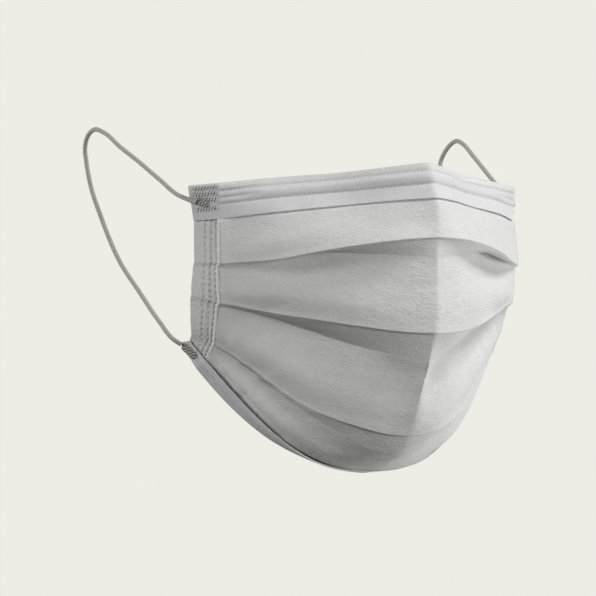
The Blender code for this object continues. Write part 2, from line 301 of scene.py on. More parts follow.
def carried_profile(
    name: str, path: Grid, wide: Grid, half_width: Grid, half_height: Grid, relief: Grid
) -> bpy.types.Object:
    """Oval profile carried along a path, closed at both ends.

    A point of the surface is the path, plus the wide direction times the half width times the
    cosine of the angle round it, plus the high direction times the half height times the sine.
    Both halves are scaled by one plus the relief. The first and the last ring are drawn together.

    Args:
        name: Name of the piece.
        path: Points of the path.
        wide: Rough direction in which the profile is wide.
        half_width: Half width at each point of the path.
        half_height: Half height at each point of the path.
        relief: Share by which the surface stands out, for each point and angle.

    Returns:
        The piece.
    """
    rings, sides = relief.shape
    along = unit(np.gradient(path, axis=0))
    broad = unit(wide - along * np.sum(wide * along, axis=-1, keepdims=True))
    high = np.cross(along, broad)
    angle = np.linspace(0.0, 2 * np.pi, sides, endpoint=False)
    out = 1.0 + relief
    ring = broad[:, None, :] * (half_width[:, None] * np.cos(angle) * out)[..., None]
    ring = ring + high[:, None, :] * (half_height[:, None] * np.sin(angle) * out)[..., None]
    points = (path[:, None, :] + ring).reshape(-1, 3)
    index = np.arange(rings * sides).reshape(rings, sides)
    nxt = np.roll(index, -1, axis=1)
    body = np.stack([index[:-1], nxt[:-1], nxt[1:], index[1:]], axis=-1).reshape(-1, 4)
    near, far = len(points), len(points) + 1
    pairs = np.arange(0, sides, 2)
    ahead, beyond = (pairs + 1) % sides, (pairs + 2) % sides
    first, last = index[0], index[-1]
    start = [np.full(len(pairs), near), first[beyond], first[ahead], first[pairs]]
    end = [np.full(len(pairs), far), last[pairs], last[ahead], last[beyond]]
    faces = np.concatenate([body, np.stack(start, axis=-1), np.stack(end, axis=-1)])
    points = np.concatenate([points, path[:1], path[-1:]])
    run = lengths(path[:, None, :], 0)[:, 0]
    round_it = np.broadcast_to(angle * half_width.max(), (rings, sides))
    uv = np.stack([np.broadcast_to(run[:, None], (rings, sides)), round_it], axis=-1).reshape(-1, 2)
    uv = np.concatenate([uv, uv[:1], uv[-1:]]) / MM
    smooth = np.ones(len(faces), dtype=bool)
    return put_mesh(name, points, faces, uv, smooth, np.zeros(len(faces), dtype=int))


def dress(
    piece: bpy.types.Object, slot: str, nodes: tuple[str, ...], *materials: bpy.types.Material
) -> None:
    """Give a piece its materials and its place in the frame, and hide the CAD nodes that it stands
    for.

    Args:
        piece: The piece.
        slot: Name of its kind of material; not used.
        nodes: CAD nodes that it stands for.
        materials: Materials in the order of its faces' slots.
    """
    for material in materials:
        piece.data.materials.append(material)
    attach(piece, "root")
    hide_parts(*nodes)
    LOG.info("%s: %d faces", piece.name, len(piece.data.polygons))


def linear(code: str) -> tuple[float, float, float, float]:
    """Linear colour of an sRGB hex code.

    A dark share is divided by 12.92, and a brighter one goes up by a power of 2.4.

    Args:
        code: Code such as #D8D8D6.

    Returns:
        Red, green, blue and 1.
    """
    shares = np.array([int(code[place:place + 2], 16) for place in (1, 3, 5)]) / 255
    low, high = shares / 12.92, ((shares + 0.055) / 1.055) ** 2.4
    return (*np.where(shares <= 0.04045, low, high).tolist(), 1.0)


def fill(
    tree: bpy.types.NodeTree,
    node: bpy.types.Node,
    settings: dict[str | int, object],
    links: dict[str | int, bpy.types.NodeSocket],
) -> bpy.types.Node:
    """Give a node its settings and links.

    Args:
        tree: Node tree that holds it.
        node: The node.
        settings: Values by property, or by its own socket's name or number.
        links: Sockets that feed it, by its own socket's name or number.

    Returns:
        The node.
    """
    for key, value in settings.items():
        if isinstance(key, str) and hasattr(node, key):
            setattr(node, key, value)
        else:
            node.inputs[key].default_value = value
    for key, source in links.items():
        tree.links.new(source, node.inputs[key])
    return node


def add_node(
    tree: bpy.types.NodeTree,
    kind: str,
    settings: dict[str | int, object],
    links: dict[str | int, bpy.types.NodeSocket],
) -> bpy.types.Node:
    """Add a node of a kind, by Blender's name for it, with its settings and links as in fill."""
    return fill(tree, tree.nodes.new(kind), settings, links)


def new_material(name: str) -> tuple[bpy.types.Material, bpy.types.NodeTree, bpy.types.Node]:
    """Make a material with nodes.

    Args:
        name: Name of the material.

    Returns:
        The material, its node tree and its main shader.
    """
    material = bpy.data.materials.new(name)
    material.use_nodes = True
    return material, material.node_tree, material.node_tree.nodes["Principled BSDF"]


def crossed_waves(
    tree: bpy.types.NodeTree, place: bpy.types.NodeSocket, pitch: float
) -> bpy.types.NodeSocket:
    """Product of two sine waves along the first two axes of a place.

    Args:
        tree: Node tree that gets the nodes.
        place: Socket of the place.
        pitch: Wavelength of both waves.

    Returns:
        Socket of the product, from -1 to 1.
    """
    split = add_node(tree, "ShaderNodeSeparateXYZ", {}, {"Vector": place})
    turns = {"operation": "MULTIPLY", 1: 2 * np.pi / pitch}
    waves = []
    for axis in ("X", "Y"):
        phase = add_node(tree, "ShaderNodeMath", turns, {0: split.outputs[axis]})
        waves.append(add_node(tree, "ShaderNodeMath", {"operation": "SINE"}, {0: phase.outputs[0]}))
    sources = {0: waves[0].outputs[0], 1: waves[1].outputs[0]}
    return add_node(tree, "ShaderNodeMath", {"operation": "MULTIPLY"}, sources).outputs[0]


@dataclass(frozen=True)
class ClothFinish:
    """Polypropylene spunbond cloth, laid as fine fibres and bonded with a hot engraved roller.

    The fibres give a matt, slightly downy surface with faint clouds of denser and thinner cloth.
    The roller leaves bonding points. Real ones are 0.8 mm apart, too fine for the render, so they
    are drawn coarser, point_pitch apart. Where the cloth is pressed together for a weld it is
    smoother, denser and a little darker, and the same darker pressed colour is also used as
    painted shade on the side bands. Pitches and depths are in millimetres, scales are per
    millimetre, and point_turn is the turn of the roller's grid in radians.
    """

    name: str
    colour: str
    pressed_and_shade_colour: str
    point_pitch: float = 1.15
    point_turn: float = 0.82
    point_depth: float = 0.008
    fibre_stretch: tuple[float, float, float] = (0.6, 1.25, 1.0)
    fibre_depth: float = 0.15
    cloud_scale: float = 0.16
    cloud: float = 0.05
    grain: float = 0.07
    noise_spread: tuple[float, float] = (0.3, 0.7)
    roughness: float = 0.82
    pressed_roughness: float = 0.55
    sheen: float = 0.15

    def material(self) -> bpy.types.Material:
        """Make the material of the cloth, with its patterns on the piece's UV map.

        The height is the fibre noise plus the product of two sine waves for the bonding points,
        and the shade is the product of the cloud noise and the fibre noise.

        Returns:
            The material.
        """
        material, tree, shader = new_material(self.name)
        place = add_node(tree, "ShaderNodeUVMap", {"uv_map": "cloth_mm"}, {}).outputs["UV"]
        # the pressed share darkens the colour: real welds, and painted shade on the side bands
        pressed = add_node(tree, "ShaderNodeAttribute", {"attribute_name": "pressed"}, {})
        pressed = pressed.outputs["Fac"]
        turned = add_node(
            tree, "ShaderNodeMapping", {"Rotation": (0.0, 0.0, self.point_turn)}, {"Vector": place}
        )
        points = crossed_waves(tree, turned.outputs["Vector"], self.point_pitch)
        stretched = add_node(
            tree, "ShaderNodeMapping", {"Scale": self.fibre_stretch}, {"Vector": place}
        )
        fibres = add_node(
            tree,
            "ShaderNodeTexNoise",
            {"Scale": 1.0, "Detail": 4.0, "Roughness": 0.62, "Distortion": 0.7},
            {"Vector": stretched.outputs["Vector"]},
        ).outputs["Fac"]
        clouds = add_node(
            tree,
            "ShaderNodeTexNoise",
            {"Scale": self.cloud_scale, "Detail": 4.0, "Roughness": 0.6},
            {"Vector": place},
        ).outputs["Fac"]
        dents = add_node(
            tree, "ShaderNodeMath", {"operation": "MULTIPLY", 1: self.point_depth * MM}, {0: points}
        )
        height = add_node(
            tree,
            "ShaderNodeMath",
            {"operation": "MULTIPLY_ADD", 1: self.fibre_depth * MM * 2},
            {0: fibres, 2: dents.outputs[0]},
        )
        bump = add_node(
            tree,
            "ShaderNodeBump",
            {"Strength": 1.0, "Distance": 1.0},
            {"Height": height.outputs[0]},
        )
        low, high = self.noise_spread
        shades = []
        for value, least, most in (
            (clouds, 1.0 - self.cloud, 1.0), (fibres, 1.0 - self.grain, 1.0 + self.grain)
        ):
            spread = {"From Min": low, "From Max": high, "To Min": least, "To Max": most}
            shades.append(add_node(tree, "ShaderNodeMapRange", spread, {"Value": value}))
        shade = add_node(
            tree,
            "ShaderNodeMath",
            {"operation": "MULTIPLY"},
            {0: shades[0].outputs["Result"], 1: shades[1].outputs["Result"]},
        )
        # mix towards the darker pressed colour, which is the welds' own tone and also painted shade
        # on the side bands
        mixed = add_node(
            tree,
            "ShaderNodeMix",
            {"data_type": "RGBA", 6: linear(self.colour), 7: linear(self.pressed_and_shade_colour)},
            {0: pressed},
        )
        clouded = add_node(
            tree,
            "ShaderNodeVectorMath",
            {"operation": "SCALE"},
            {0: mixed.outputs[2], "Scale": shade.outputs[0]},
        )
        gloss = add_node(
            tree,
            "ShaderNodeMapRange",
            {"To Min": self.roughness, "To Max": self.pressed_roughness},
            {"Value": pressed},
        )
        fill(
            tree,
            shader,
            {
                "IOR": 1.49,
                "Specular IOR Level": 0.3,
                "Sheen Weight": self.sheen,
                "Sheen Roughness": 0.6,
            },
            {
                "Base Color": clouded.outputs["Vector"],
                "Roughness": gloss.outputs["Result"],
                "Normal": bump.outputs["Normal"],
            },
        )
        return material


@dataclass(frozen=True)
class ElasticFinish:
    """Round elastic of polyester and elastane yarn, warp-knitted and dyed grey.

    Its stitches make the ribs that are in the mesh, and the yarn is matt, with fine fibres. Where
    an end is welded it is pressed into slanting strokes, hatch_pitch apart along the weld and
    hatch_stretch times as long. Pitch and depth are in millimetres, and the scale is per
    millimetre.
    """

    name: str
    colour: str
    groove_colour: str
    roughness: float = 0.85
    hatch_pitch: float = 0.0
    hatch_turn: float = 0.785
    hatch_stretch: float = 3.0
    yarn_scale: float = 3.2
    relief_depth: float = 0.05

    def material(self) -> bpy.types.Material:
        """Make the material of the elastic, darker between its fibres or its pressed strokes.

        Returns:
            The material.
        """
        material, tree, shader = new_material(self.name)
        place = add_node(tree, "ShaderNodeUVMap", {"uv_map": "cloth_mm"}, {}).outputs["UV"]
        if self.hatch_pitch:
            turned = add_node(
                tree,
                "ShaderNodeMapping",
                {
                    "vector_type": "TEXTURE",
                    "Rotation": (0.0, 0.0, self.hatch_turn),
                    "Scale": (1.0, self.hatch_stretch, 1.0),
                },
                {"Vector": place},
            )
            relief = crossed_waves(tree, turned.outputs["Vector"], self.hatch_pitch)
            low, high = -0.3, 0.5
        else:
            relief = add_node(
                tree,
                "ShaderNodeTexNoise",
                {"Scale": self.yarn_scale, "Detail": 3.0, "Roughness": 0.6},
                {"Vector": place},
            ).outputs["Fac"]
            low, high = 0.35, 0.6
        spread = add_node(
            tree, "ShaderNodeMapRange", {"From Min": low, "From Max": high}, {"Value": relief}
        )
        mixed = add_node(
            tree,
            "ShaderNodeMix",
            {"data_type": "RGBA", 6: linear(self.groove_colour), 7: linear(self.colour)},
            {0: spread.outputs["Result"]},
        )
        bump = add_node(
            tree,
            "ShaderNodeBump",
            {"Strength": 0.6, "Distance": self.relief_depth * MM},
            {"Height": relief},
        )
        fill(
            tree,
            shader,
            {"Roughness": self.roughness, "IOR": 1.5, "Specular IOR Level": 0.3},
            {"Base Color": mixed.outputs[2], "Normal": bump.outputs["Normal"]},
        )
        return material


@dataclass(frozen=True)
class WireFinish:
    """Soft aluminium strip, rolled and left bare: bright, with fine marks along its length.

    mark_scale is the scale of the marks per metre along each axis.
    """

    name: str = "rolled_aluminium"
    colour: str = "#C9CACC"
    roughness: float = 0.38
    roughness_spread: float = 0.08
    mark_scale: tuple[float, float, float] = (60.0, 60.0, 6000.0)

    def material(self) -> bpy.types.Material:
        """Make the material of the nose wire, duller and brighter by turns across its height.

        Returns:
            The material.
        """
        material, tree, shader = new_material(self.name)
        place = add_node(tree, "ShaderNodeTexCoord", {}, {}).outputs["Object"]
        drawn = add_node(tree, "ShaderNodeMapping", {"Scale": self.mark_scale}, {"Vector": place})
        marks = add_node(
            tree,
            "ShaderNodeTexNoise",
            {"Scale": 1.0, "Detail": 2.0},
            {"Vector": drawn.outputs["Vector"]},
        )
        gloss = add_node(
            tree,
            "ShaderNodeMapRange",
            {
                "To Min": self.roughness - self.roughness_spread,
                "To Max": self.roughness + self.roughness_spread,
            },
            {"Value": marks.outputs["Fac"]},
        )
        fill(
            tree,
            shader,
            {"Base Color": linear(self.colour), "Metallic": 1.0},
            {"Roughness": gloss.outputs["Result"]},
        )
        return material


@dataclass(frozen=True)
class LineRow:
    """Shape of one line across the cloth, in shares of the mask's sizes.

    reach is how far out the crease of the side band is, back and up are read at the stations from
    the middle of the mask to that crease, and edge is out, back and up of the side edge. rounding
    is how blunt the line is where it crosses the ridge.
    """

    reach: float
    back: tuple[float, ...]
    up: tuple[float, ...]
    edge: tuple[float, float, float]
    rounding: float = 0.018


LINES: dict[Line, LineRow] = {
    Line.TOP_EDGE: LineRow(
        0.926, (0.126, 0.256, 0.410, 0.533, 0.629, 0.708),
        (1.000, 0.984, 0.967, 0.957, 0.947, 0.935), (1.021, 0.852, 0.927)
    ),
    Line.TOP_HEM: LineRow(
        0.916, (0.036, 0.164, 0.303, 0.412, 0.537, 0.712),
        (0.883, 0.874, 0.861, 0.848, 0.835, 0.819), (0.985, 0.854, 0.815)
    ),
    Line.LIP_1: LineRow(
        0.926, (0.012, 0.053, 0.149, 0.283, 0.454, 0.684),
        (0.760, 0.752, 0.736, 0.715, 0.687, 0.678), (0.974, 0.865, 0.681)
    ),
    Line.CREASE_1: LineRow(
        0.920, (0.000, 0.085, 0.223, 0.384, 0.517, 0.712),
        (0.692, 0.703, 0.709, 0.714, 0.698, 0.672), (0.970, 0.885, 0.668)
    ),
    Line.LIP_2: LineRow(
        0.907, (0.040, 0.112, 0.213, 0.370, 0.549, 0.715),
        (0.455, 0.461, 0.478, 0.500, 0.523, 0.554), (0.988, 0.877, 0.576)
    ),
    Line.CREASE_2: LineRow(
        0.901, (0.084, 0.205, 0.350, 0.504, 0.622, 0.747),
        (0.357, 0.389, 0.424, 0.472, 0.516, 0.545), (0.982, 0.897, 0.563)
    ),
    Line.LIP_3: LineRow(
        0.875, (0.297, 0.336, 0.422, 0.540, 0.689, 0.818),
        (0.124, 0.141, 0.185, 0.244, 0.338, 0.426), (0.952, 0.930, 0.453), 0.03
    ),
    Line.CREASE_3: LineRow(
        0.875, (0.359, 0.412, 0.519, 0.646, 0.761, 0.843),
        (0.063, 0.091, 0.151, 0.235, 0.339, 0.414), (0.950, 0.946, 0.441), 0.06
    ),
    Line.LOW_HEM: LineRow(
        0.886, (0.647, 0.676, 0.696, 0.743, 0.828, 0.896),
        (0.012, 0.022, 0.057, 0.129, 0.243, 0.367), (0.950, 0.956, 0.429), 0.04
    ),
    Line.LOW_EDGE: LineRow(
        0.910, (0.764, 0.770, 0.796, 0.843, 0.905, 0.958),
        (0.006, 0.024, 0.064, 0.123, 0.216, 0.339), (0.983, 1.003, 0.422)
    ),
}


@dataclass(frozen=True)
class Pleat:
    """Lip, crease and next line down of a pleat, and the stations over which it closes.

    pressed is how far its lip and its crease are pressed towards each other where it is closed.
    """

    lip: Line
    crease: Line
    below: Line
    closes: tuple[float, float]
    pressed: float = 0.0


PLEATS: tuple[Pleat, ...] = (
    Pleat(Line.LIP_1, Line.CREASE_1, Line.LIP_2, (0.62, 0.87)),
    Pleat(Line.LIP_2, Line.CREASE_2, Line.LIP_3, (0.50, 0.85)),
    Pleat(Line.LIP_3, Line.CREASE_3, Line.LOW_HEM, (0.20, 0.52), 0.30),
)


@dataclass(frozen=True)
class WornShape:
    """Sizes of the worn mask, and the lines and folds of its cloth.

    band_start is the station of the crease of the side band. turn_room is the share of the way
    to the next line that a turn may take up. least_cosine is the cosine of the sharpest turn.
    swell_along is how much of its swell a panel has at each station. swell_down and dent_up are
    powers that move the swell down and the dent up.
    """

    half_width: float = 0.0666
    height: float = 0.108
    depth: float = 0.0643
    front_y: float = -0.0072
    lowest_z: float = -0.1024
    stations: tuple[float, ...] = (0.0, 0.2, 0.4, 0.6, 0.8, 1.0)
    band_start: float = 0.87
    fold_radius: float = 0.22 * MM
    crease_radius: float = 0.25 * MM
    soft_turn: float = 0.18 * MM
    turn_room: float = 0.45
    least_cosine: float = -0.99
    swell_along: tuple[float, ...] = (0.1, 0.2, 0.45, 0.85, 1.0, 0.1)
    swell_down: float = 1.6
    dent_up: float = 0.6
    dent_middle: float = 0.14
    dent_width: float = 0.10

    def line(self, name: Line, across: Grid) -> Grid:
        """Points of one line at signed stations.

        Out grows evenly, back and up are smooth curves of the distance from the middle, which is
        rounded off at the ridge, and past the crease of the side band all three go straight to
        the side edge.

        Args:
            name: The line.
            across: Stations from -1 to 1.

        Returns:
            One point for each station.
        """
        row = LINES[name]
        away = np.abs(across)
        share = np.minimum(away / self.band_start, 1.0)
        over = np.maximum(away - self.band_start, 0.0)[:, None] / (1.0 - self.band_start)
        full = np.sqrt(1.0 + row.rounding**2) - row.rounding
        out = (np.sqrt(share**2 + row.rounding**2) - row.rounding) / full
        back = smooth_read(self.stations, row.back, out)
        up = smooth_read(self.stations, row.up, out)
        points = np.stack([share * row.reach, back, up], axis=1)
        crease = (row.reach, row.back[-1], row.up[-1])
        points += (np.array(row.edge) - crease) * over
        points[:, 0] *= np.sign(across)
        sizes = (self.half_width, self.depth, self.height)
        return points * sizes + (0.0, self.front_y, self.lowest_z)

    def turn(self, before: Grid, corner: Grid, after: Grid, radius: float, rows: int) -> Grid:
        """Rows that round off a corner of the cloth.

        Each is a point of the circular arc between the two straight runs, written as a quadratic
        with weights, where the middle weight is the cosine of half the turn.

        Args:
            before: Points of the line above.
            corner: Points of the corner.
            after: Points of the line below.
            radius: Radius of the turn.
            rows: Number of rows.

        Returns:
            Grid of rows by stations.
        """
        arriving, leaving = unit(corner - before), unit(after - corner)
        cosine = np.clip(np.sum(arriving * leaving, axis=1), self.least_cosine, 1.0)
        half = np.arccos(cosine) / 2
        space = np.minimum(
            np.linalg.norm(corner - before, axis=1), np.linalg.norm(after - corner, axis=1)
        )
        reach = np.maximum(radius * np.tan(half), self.soft_turn)
        reach = np.minimum(reach, self.turn_room * space)
        start, end = corner - arriving * reach[:, None], corner + leaving * reach[:, None]
        t = np.linspace(0.0, 1.0, rows)[:, None, None]
        middle = 2 * t * (1 - t) * np.cos(half)[None, :, None]
        blend = (1 - t) ** 2 + middle + t**2
        return ((1 - t) ** 2 * start + middle * corner + t**2 * end) / blend

    def run(
        self, start: Grid, end: Grid, across: Grid, swell: float, rows: int, dent: float = 0.0
    ) -> Grid:
        """Rows of a panel between two rows.

        A point is on the straight line between them, moved out by the swell times the square of
        the sine of pi times a power of its share of the way, so it swells most low down, and moved
        in beside the ridge by a bell curve times the dent, whose own power puts it high up.

        Args:
            start: Points of the row above.
            end: Points of the row below.
            across: Stations.
            swell: How far the panel swells out at most.
            rows: Number of rows.
            dent: How deep the panel dips beside the ridge at most.

        Returns:
            Grid of rows by stations.
        """
        along = np.gradient((start + end) / 2, across, axis=0)
        normal = unit(np.cross(end - start, along))
        share = np.minimum(np.abs(across) / self.band_start, 1.0)
        amount = swell * smooth_read(self.stations, self.swell_along, share)[:, None]
        t = (np.arange(1, rows + 1) / (rows + 1))[:, None, None]
        hollow = groove(np.abs(across), self.dent_middle, self.dent_width)[:, None] * dent
        bulge = amount * np.sin(np.pi * t**self.swell_down) ** 2
        bulge = bulge - hollow * np.sin(np.pi * t**self.dent_up) ** 2
        return start + (end - start) * t + normal * bulge


@dataclass(frozen=True)
class PleatRows:
    """How far a panel swells out, how many rows it is drawn with, and how deep it dips."""

    swell: float
    rows: int
    dent: float = 0.0


@dataclass(frozen=True)
class PleatedCloth:
    """The pleated cloth between the hems, as the wide panel or as one of its side bands.

    Its outer surface stands out from the middle of the modelled sheet. Its ends go under the
    hems, hem_sink below the surface, in rows at upper_shares and lower_shares of the hem's
    width, and it steps in there within hem_gap and hem_step of the hem's border. The inside
    follows inner_relief of the relief outside.
    """

    shape: WornShape
    thickness: float = 0.40 * MM
    stands_out: float = 0.50 * MM
    hem_sink: float = 0.10 * MM
    inner_relief: float = 0.6
    hem_gap: float = 0.20 * MM
    hem_step: float = 0.55 * MM
    upper_shares: tuple[float, ...] = (0.12, 0.35, 0.6, 0.85)
    lower_shares: tuple[float, ...] = (0.12, 0.4, 0.75)
    panels: tuple[PleatRows, ...] = (
        PleatRows(swell=0.6 * MM, rows=17),
        PleatRows(swell=2.8 * MM, rows=36),
        PleatRows(swell=3.0 * MM, rows=38, dent=1.8 * MM),
        PleatRows(swell=2.4 * MM, rows=22),
    )
    turn_rows: int = 5
    strip_rows: int = 8
    tuck_share: float = 0.12
    tuck_least: float = 0.45 * MM
    tuck_down: float = 0.08
    crease_depth: float = 2.40 * MM

    def rows(self, across: Grid) -> Grid:
        """Grid of the cloth's outer surface, from its upper to its lower edge.

        From line to line the grid has a swollen panel, the fold at the lip, the turn behind it,
        the strip that goes down to the crease, and the turn there.

        Args:
            across: Stations.

        Returns:
            Grid of rows by stations.
        """
        shape = self.shape
        own = {name: shape.line(name, across) for name in Line}
        at = self.lifted(own, across)
        edge, border = own[Line.TOP_EDGE], own[Line.TOP_HEM]
        parts = [self.under_hem(edge, border, across, self.upper_shares)]
        start = at[Line.TOP_HEM] + unit(at[Line.LIP_1] - at[Line.TOP_HEM]) * self.hem_step
        end = at[Line.LOW_HEM] + unit(at[Line.CREASE_3] - at[Line.LOW_HEM]) * self.hem_step
        parts.append(start[None])
        above = start
        for panel, pleat in zip(self.panels, PLEATS):
            after = end if pleat.below is Line.LOW_HEM else at[pleat.below]
            opens = 1.0 - rise(np.abs(across), *pleat.closes)[:, None]
            gap = (at[pleat.crease] - at[pleat.lip]) * pleat.pressed * (1.0 - opens)
            lip_at = at[pleat.lip] + gap
            crease_at = self.sunk(at[pleat.crease] - gap, lip_at, after, across, opens)
            under = self.tuck(above, lip_at, crease_at, across, opens)
            fold = shape.turn(above, lip_at, under, shape.fold_radius, self.turn_rows)
            back = shape.turn(lip_at, under, crease_at, shape.fold_radius, self.turn_rows)
            inner = shape.turn(under, crease_at, after, shape.crease_radius, self.turn_rows)
            swollen = shape.run(above, fold[0], across, panel.swell, panel.rows, panel.dent)
            parts += [swollen, fold, back]
            parts += [shape.run(back[-1], inner[0], across, 0.0, self.strip_rows), inner]
            above = inner[-1]
        last = self.panels[-1]
        parts += [shape.run(above, end, across, last.swell, last.rows), end[None]]
        edge, border = own[Line.LOW_EDGE], own[Line.LOW_HEM]
        parts.append(self.under_hem(edge, border, across, self.lower_shares)[::-1])
        return np.concatenate(parts)

    def lifted(self, own: dict[Line, Grid], across: Grid) -> dict[Line, Grid]:
        """Lines moved out from the middle of the cloth to its outer surface.

        The direction out at a line is that of the cloth between the lines above and below it.

        Args:
            own: Points of each line, from the top down.
            across: Stations.

        Returns:
            Points of each line, where the first and the last stay as they are.
        """
        order = list(own)
        moved = dict(own)
        for above, name, below in zip(order, order[1:], order[2:]):
            normal = unit(np.cross(own[below] - own[above], np.gradient(own[name], across, axis=0)))
            moved[name] = own[name] + normal * self.stands_out
        return moved

    def sunk(self, crease: Grid, lip: Grid, below: Grid, across: Grid, opens: Grid) -> Grid:
        """Crease moved in level by its depth, which fades where the pleat closes.

        Args:
            crease: Points of the crease.
            lip: Points of the lip above it.
            below: Points of the next line down.
            across: Stations.
            opens: How far the pleat is open at each station, from 0 to 1.

        Returns:
            Points of the sunk crease.
        """
        normal = np.cross(below - lip, np.gradient(crease, across, axis=0))
        normal[:, 2] = 0.0
        return crease - unit(normal) * self.crease_depth * opens

    def tuck(self, above: Grid, lip: Grid, crease: Grid, across: Grid, opens: Grid) -> Grid:
        """Where the cloth has gone in behind a lip before it comes down to the crease.

        The depth is a share of how far the crease lies behind the lip, and it fades where the
        pleat closes.

        Args:
            above: Points of the row above the panel.
            lip: Points of the lip.
            crease: Points of the sunk crease.
            across: Stations.
            opens: How far the pleat is open at each station, from 0 to 1.

        Returns:
            Points behind the lip.
        """
        normal = unit(np.cross(lip - above, np.gradient(lip, across, axis=0)))
        behind = np.maximum(np.sum((lip - crease) * normal, axis=1, keepdims=True), 0.0)
        depth = (self.tuck_share * behind + self.tuck_least) * opens
        return lip + (crease - lip) * self.tuck_down - normal * depth

    def under_hem(self, edge: Grid, border: Grid, across: Grid, shares: tuple[float, ...]) -> Grid:
        """Rows under a hem, sunk below its surface, from the cloth's edge to the hem's border.

        A row is the edge plus its share of the way to the border, less the sink along the
        direction out of the cloth. The last two rows are just before and just after the border.

        Args:
            edge: Points of the cloth's edge.
            border: Points of the hem's border.
            across: Stations.
            shares: Shares of the way, rising.

        Returns:
            Grid of rows by stations.
        """
        width = np.linalg.norm(border - edge, axis=1, keepdims=True)
        along = np.gradient((edge + border) / 2, across, axis=0)
        down = border - edge if border[0, 2] < edge[0, 2] else edge - border
        normal = unit(np.cross(down, along))
        places = [np.full_like(width, share) for share in shares]
        places += [1.0 - self.hem_gap / width, 1.0 + self.hem_gap / width]
        sink = normal * self.hem_sink
        return np.stack([edge + (border - edge) * place - sink for place in places])

    def shell(self, name: str, across: Grid, relief: Relief) -> bpy.types.Object:
        """Closed piece of the cloth over stations, with relief on its outside.

        Args:
            name: Name of the piece.
            across: Stations.
            relief: Function of station, share down, distance across and distance down that gives
                the height of the relief and how far the cloth is pressed, which on the side bands
                also holds painted shade.

        Returns:
            The piece.
        """
        base = self.rows(across)
        normal = outwards(base)
        down = lengths(base, 0)
        stations = np.broadcast_to(across, base.shape[:2])
        height, pressed = relief(stations, down / down[-1:], from_middle(base), down)
        outer = base + normal * height[..., None]
        inner = base - normal * (self.thickness - self.inner_relief * height)[..., None]
        return closed_sheet(name, outer, inner, pressed)


# Height of the swollen crease where the panel becomes a side band, how much of it is left under
# the hems, and the shares of the way down the cloth over which it grows and falls
BAND_CREASE = 0.85 * MM
CREASE_LEFT = 0.15
CREASE_GROWS = (0.12, 0.17)
CREASE_FALLS = (0.87, 0.92)


def band_crease(share: Grid) -> Grid:
    """Height of the swollen crease at a share of the way down the cloth, lower under the hems."""
    free = rise(share, *CREASE_GROWS) * (1.0 - rise(share, *CREASE_FALLS))
    return BAND_CREASE * (CREASE_LEFT + (1.0 - CREASE_LEFT) * free)


def main_columns(limit: float, half_count: int = 84, power: float = 1.2) -> Grid:
    """Stations up to limit on both sides: even shares to a power, so they are closest mid-way."""
    half = np.linspace(0.0, 1.0, half_count) ** power * limit
    return np.concatenate([-half[:0:-1], half])


@dataclass(frozen=True)
class PleatedPanel:
    """The wide pleated panel, which reaches a little way over the start of the side bands.

    calm is the stations between which its waves fade, and crease_from is where it starts to rise
    to the swollen crease of the band.
    """

    cloth: PleatedCloth
    reach: float = 0.874
    wave: float = 0.07 * MM
    wave_size: tuple[float, float] = (0.046, 0.011)
    crumple: float = 0.03 * MM
    crumple_size: tuple[float, float] = (0.009, 0.005)
    seeds: tuple[int, int] = (7, 21)
    calm: tuple[float, float] = (0.80, 0.86)
    crease_from: float = 0.810
    crease_power: float = 1.6

    def relief(self, stations: Grid, share: Grid, over: Grid, down: Grid) -> tuple[Grid, Grid]:
        """Soft waves along the pleats and finer unevenness, and the rise to the band's crease.

        The waves and the unevenness are sums of sine waves that fade at the band, and the rise is
        a power of the share of the way.

        Args:
            stations: Station of each point.
            share: Share of the way down the cloth.
            over: Distance across the cloth from the middle of the piece.
            down: Distance down the cloth.

        Returns:
            Height of the relief, and how far the cloth is pressed together.
        """
        away = np.abs(stations)
        height = self.wave * ripples(over, down, self.wave_size, self.seeds[0])
        height += self.crumple * ripples(over, down, self.crumple_size, self.seeds[1])
        height *= 1.0 - rise(away, *self.calm)
        near = np.clip((away - self.crease_from) / (self.reach - self.crease_from), 0.0, 1.0)
        height += band_crease(share) * near**self.crease_power
        return height, np.zeros_like(height)

    def flat_size(self) -> tuple[float, float]:
        """Width and height of the flat cut: the mean lengths across and down the cloth."""
        base = self.cloth.rows(main_columns(self.reach))
        return float(lengths(base, 1)[:, -1].mean()), float(lengths(base, 0)[-1].mean())

    def build(self, finish: bpy.types.Material, lining: bpy.types.Material) -> bpy.types.Object:
        """Build and dress the panel.

        Args:
            finish: Material outside.
            lining: Material inside.

        Returns:
            The piece.
        """
        piece = self.cloth.shell("pleated_cloth", main_columns(self.reach), self.relief)
        dress(piece, "pleated_cloth", ("pleated_panel",), finish, lining)
        return piece


